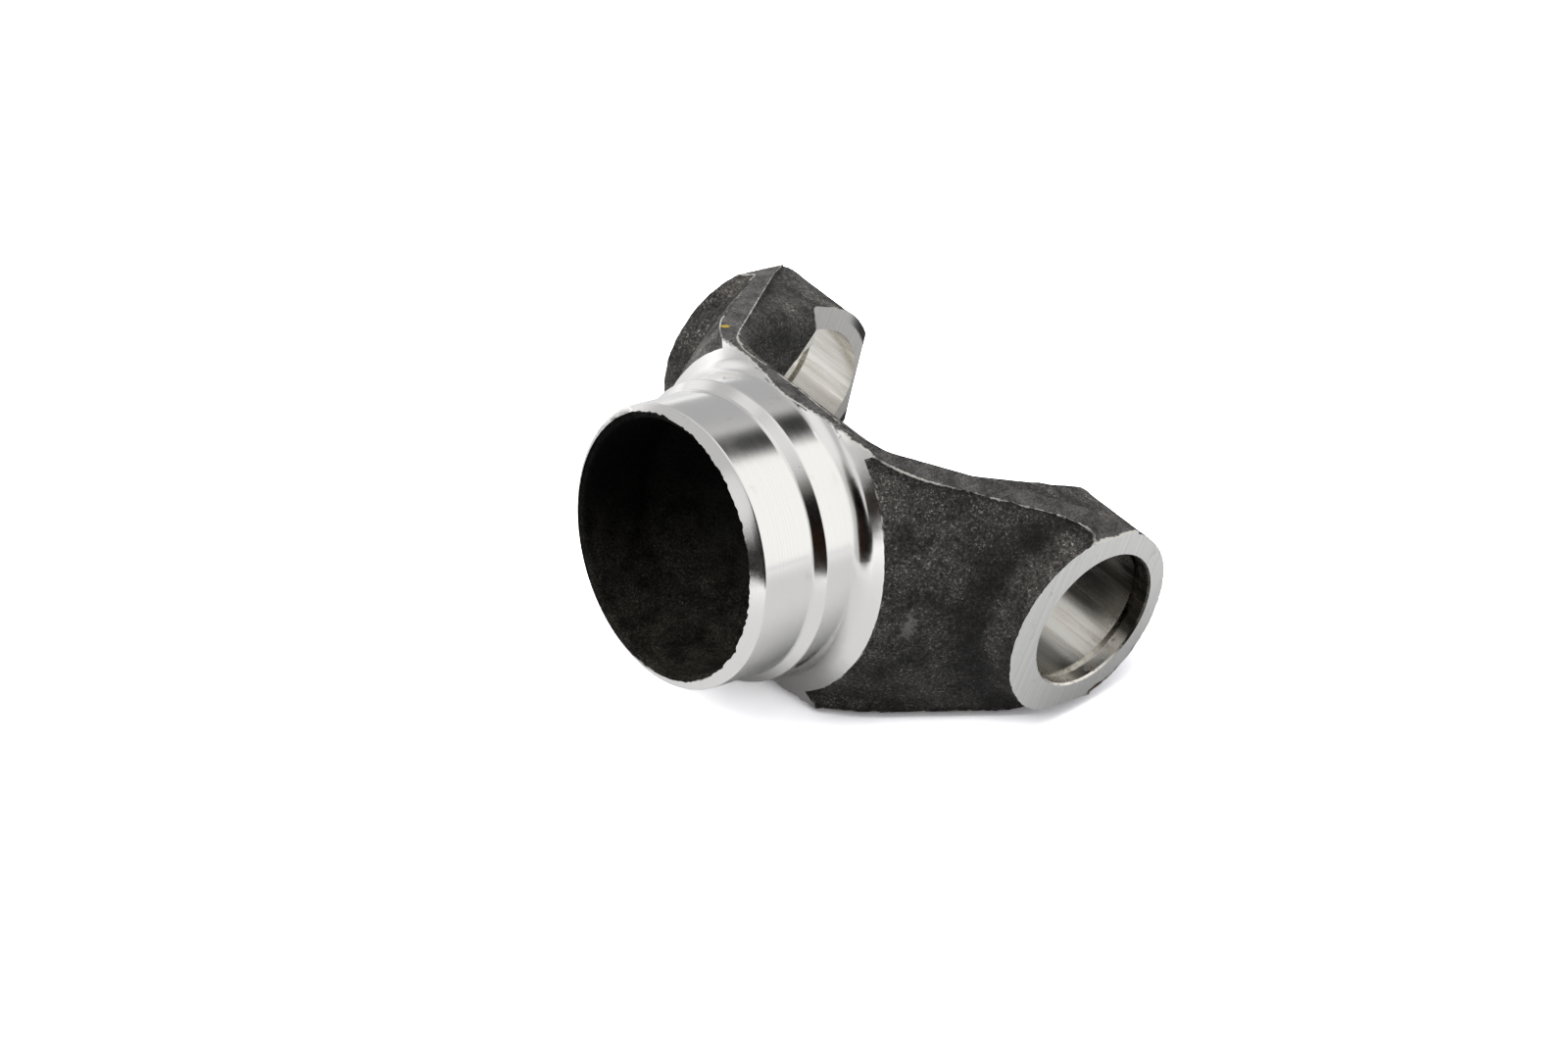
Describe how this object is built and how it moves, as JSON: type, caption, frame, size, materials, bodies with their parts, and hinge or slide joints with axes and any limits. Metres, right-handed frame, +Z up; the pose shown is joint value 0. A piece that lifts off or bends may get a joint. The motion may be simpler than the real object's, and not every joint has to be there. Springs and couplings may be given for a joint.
{
  "type": "weld yoke",
  "caption": "Forged steel weld yoke for a universal joint: a bell-shaped body with a turned tube pilot and weld shoulder, and arms ending in bored bearing ears with snap ring grooves.",
  "frame": {"origin": "on the ground below the middle of the lying yoke's bounding box", "axes": "+X along the bearing axis from ear to ear, +Z up from the ground the yoke lies on, tube mouth towards -Y and tilted up by 12.0 degrees, ear tips towards +Y"},
  "size_m": [0.111, 0.091, 0.0652],
  "materials": {
    "forged_steel": "dark forging scale, with the tube end, ear faces and bores machined bright"
  },
  "bodies": {
    "root": {"weld_yoke": "forged_steel"}
  },
  "joints": []
}
